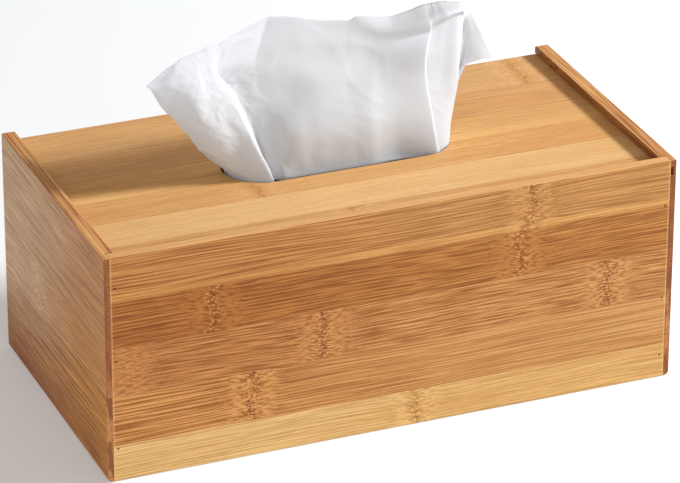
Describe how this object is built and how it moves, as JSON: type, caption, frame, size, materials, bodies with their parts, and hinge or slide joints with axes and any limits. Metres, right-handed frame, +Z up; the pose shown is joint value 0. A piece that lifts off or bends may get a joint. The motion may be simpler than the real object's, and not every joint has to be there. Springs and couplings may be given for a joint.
{
  "type": "tissue box with a sliding lid",
  "caption": "Bamboo box for folded tissues with a lid that slides back in grooves and a rounded slot, with a tissue drawn up through it.",
  "frame": {"origin": "middle of the underside", "axes": "+X along the box to the right end, +Y from the front board to the back board, which is the way that the lid slides out, +Z up"},
  "size_m": [0.25, 0.128, 0.1629],
  "materials": {
    "bamboo": "clear satin varnish over caramel bamboo",
    "pin_steel": "dark headless steel pins",
    "tissue_paper": "soft white two-ply tissue"
  },
  "bodies": {
    "case": {"left_end_panel": "bamboo", "right_end_panel": "bamboo", "front_panel": "bamboo", "back_panel": "bamboo", "base_panel": "bamboo", "front_left_pins": "pin_steel", "front_right_pins": "pin_steel", "back_left_pins": "pin_steel", "back_right_pins": "pin_steel", "tissue_stack": "tissue_paper"},
    "lid": {"sliding_lid": "bamboo"},
    "tissue": {"tissue_sheet": "tissue_paper"}
  },
  "joints": [
    {"name": "lid_slide", "type": "slide", "parent": "case", "child": "lid", "axis": [0, 1, 0], "range_m": [0, 0.12]},
    {"name": "tissue_draw", "type": "slide", "parent": "lid", "child": "tissue", "axis": [0, 0, 1], "range_m": [0, 0.1]}
  ]
}
